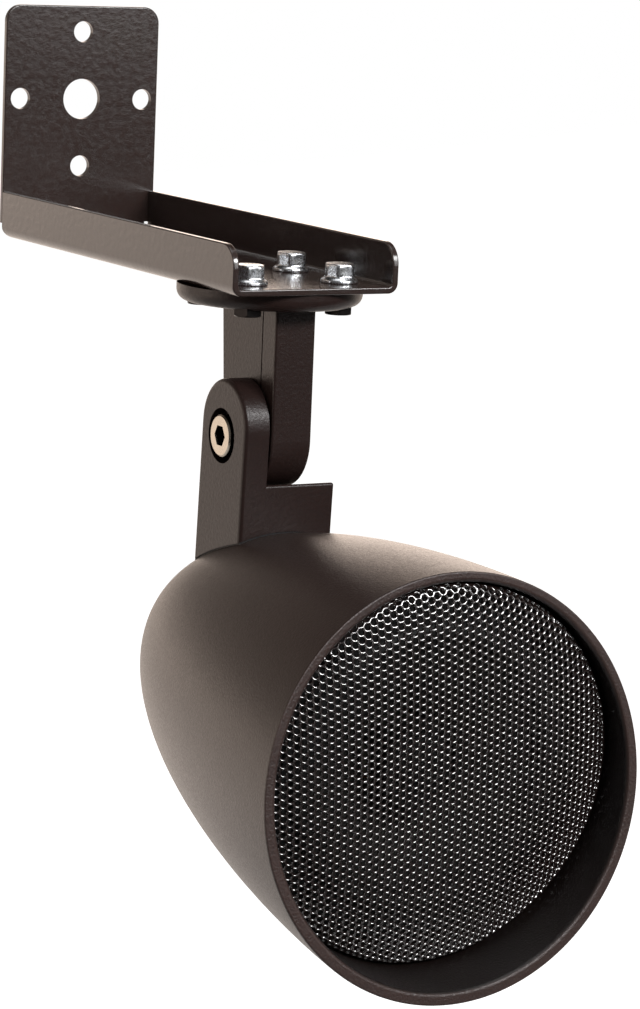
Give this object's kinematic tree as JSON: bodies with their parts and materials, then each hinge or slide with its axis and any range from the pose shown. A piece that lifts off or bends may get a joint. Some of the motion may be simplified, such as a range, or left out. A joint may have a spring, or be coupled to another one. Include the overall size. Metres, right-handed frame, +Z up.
{
  "type": "outdoor speaker",
  "caption": "Bullet-shaped outdoor loudspeaker with a slanted hooded grille, hung on a tilting knuckle under a folded L-shaped wall bracket.",
  "frame": {"origin": "centre of the four wall-screw holes on the wall plate's back face", "axes": "+X to the right seen from the front, -Y straight out from the wall, +Z up"},
  "size_m": [0.1224, 0.2683, 0.2677],
  "materials": {
    "bracket_coat": "semi-gloss bronze-brown powder coat",
    "body_coat": "fine orange-peel bronze-brown powder coat on cast aluminium",
    "arm_coat": "smooth bronze-brown powder coat on cast aluminium",
    "zinc": "bright zinc plate",
    "stainless": "stainless steel",
    "black_steel": "black oxide",
    "grille_coat": "dark brown powder coat",
    "frame_coat": "black coat",
    "motor_steel": "zinc-plated plate",
    "ferrite": "sintered ferrite",
    "coil_wire": "lacquered copper wire",
    "paper_pulp": "black paper pulp",
    "black_rubber": "matte rubber",
    "treated_cloth": "resin-treated cloth",
    "dome_cloth": "coated silk",
    "black_plastic": "moulded nylon",
    "board_laminate": "glass-fibre laminate",
    "capacitor_sleeve": "shrink sleeve"
  },
  "bodies": {
    "bracket": {"wall_bracket": "bracket_coat", "flange_bolts": "zinc", "flange_nuts": "black_steel", "hanger_arm": "arm_coat", "pivot_screw": "stainless", "pivot_spacer": "black_plastic", "pivot_washer": "stainless", "pivot_nut": "stainless"},
    "head": {"knuckle": "body_coat", "saddle_gasket": "black_rubber", "knuckle_screws": "zinc", "housing": "body_coat", "grille": "grille_coat", "driver_gasket": "black_rubber", "driver_basket": "frame_coat", "driver_screws": "zinc", "top_plate": "motor_steel", "magnet": "ferrite", "back_plate": "motor_steel", "surround": "black_rubber", "spider": "treated_cloth", "tweeter_post": "black_plastic", "tweeter_cup": "black_plastic", "tweeter_dome": "dome_cloth", "crossover_board": "board_laminate", "crossover_capacitor": "capacitor_sleeve", "crossover_coil": "coil_wire", "board_screws": "zinc", "cable_gland": "black_plastic", "gland_nut": "black_plastic", "gland_seal": "black_rubber"},
    "cone": {"cone": "paper_pulp", "voice_coil": "coil_wire"}
  },
  "joints": [
    {"name": "tilt", "type": "hinge", "parent": "bracket", "child": "head", "pos_m": [0, -0.1428, -0.0923], "axis": [1, 0, 0], "range_deg": [-55, 55]},
    {"name": "cone_travel", "type": "slide", "parent": "head", "child": "cone", "axis": [0, -0.9956, -0.0941], "range_m": [-0.0025, 0.0025], "stiffness_N_per_m": 1200, "deforming": ["surround", "spider"]}
  ]
}
